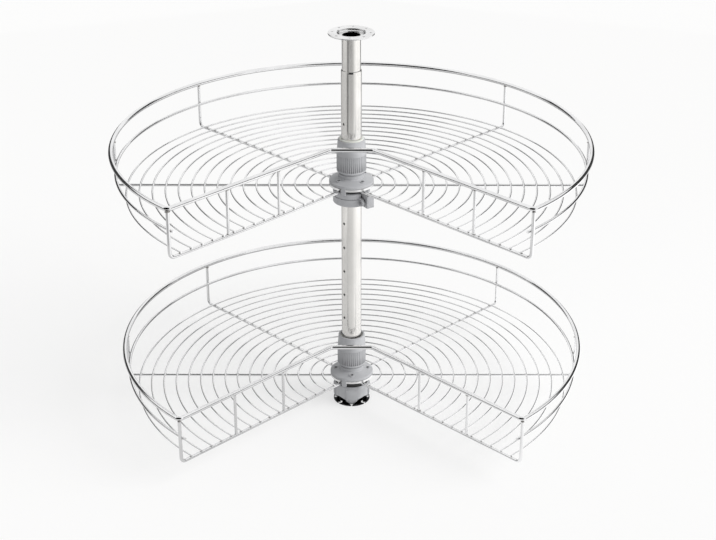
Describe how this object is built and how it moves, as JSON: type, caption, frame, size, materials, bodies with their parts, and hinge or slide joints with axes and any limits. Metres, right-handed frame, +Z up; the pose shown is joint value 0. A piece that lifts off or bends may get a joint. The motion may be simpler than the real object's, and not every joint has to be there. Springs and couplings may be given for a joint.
{
  "type": "corner cabinet carousel",
  "caption": "Three-quarter wire baskets that turn on a telescopic chrome post, screwed to a corner cabinet's floor and top.",
  "frame": {"origin": "middle of the base flange's underside, on the post's axis, where it rests on the cabinet's floor", "axes": "+Z up along the post; the notch of both baskets faces -Y, towards the cabinet's doors; +X to the right seen from the doors"},
  "size_m": [0.82, 0.7046, 0.697],
  "materials": {
    "wire_chrome": "bright plated",
    "tube_chrome": "satin plated",
    "flange_chrome": "bright plated",
    "grey_plastic": "satin moulded",
    "nylon": "smooth",
    "glide": "smooth",
    "screw_steel": "dark zinc"
  },
  "bodies": {
    "post": {"base_flange": "flange_chrome", "base_bearing": "grey_plastic", "outer_tube": "tube_chrome", "outer_tube_glide": "glide"},
    "upper_post": {"inner_tube": "tube_chrome", "inner_tube_glide": "glide", "top_flange": "flange_chrome"},
    "stop_collar": {"stop_collar": "grey_plastic", "clamp_screw": "screw_steel", "clamp_nut": "screw_steel"},
    "upper_basket": {"upper_rim": "wire_chrome", "upper_mid_ring": "wire_chrome", "upper_floor_rings": "wire_chrome", "upper_left_spoke": "wire_chrome", "upper_right_spoke": "wire_chrome", "upper_rear_left_spoke": "wire_chrome", "upper_rear_right_spoke": "wire_chrome", "upper_left_frame": "wire_chrome", "upper_right_frame": "wire_chrome", "upper_side_bars": "wire_chrome", "upper_hub_disc": "flange_chrome", "upper_hub": "grey_plastic", "upper_top_bush": "nylon", "upper_bottom_bush": "glide", "upper_hub_screws": "screw_steel"},
    "lower_basket": {"lower_rim": "wire_chrome", "lower_mid_ring": "wire_chrome", "lower_floor_rings": "wire_chrome", "lower_left_spoke": "wire_chrome", "lower_right_spoke": "wire_chrome", "lower_rear_left_spoke": "wire_chrome", "lower_rear_right_spoke": "wire_chrome", "lower_left_frame": "wire_chrome", "lower_right_frame": "wire_chrome", "lower_side_bars": "wire_chrome", "lower_hub_disc": "flange_chrome", "lower_hub": "grey_plastic", "lower_top_bush": "nylon", "lower_bottom_bush": "glide", "lower_hub_screws": "screw_steel"}
  },
  "joints": [
    {"name": "post_telescope", "type": "slide", "parent": "post", "child": "upper_post", "axis": [0, 0, 1], "range_m": [-0.04, 0.1]},
    {"name": "stop_collar_slide", "type": "slide", "parent": "post", "child": "stop_collar", "axis": [0, 0, 1], "range_m": [-0.184, 0.092]},
    {"name": "upper_basket_turn", "type": "hinge", "parent": "stop_collar", "child": "upper_basket", "pos_m": [0, 0, 0.4235], "axis": [0, 0, 1], "continuous": true},
    {"name": "lower_basket_turn", "type": "hinge", "parent": "post", "child": "lower_basket", "pos_m": [0, 0, 0.0472], "axis": [0, 0, 1], "continuous": true}
  ]
}
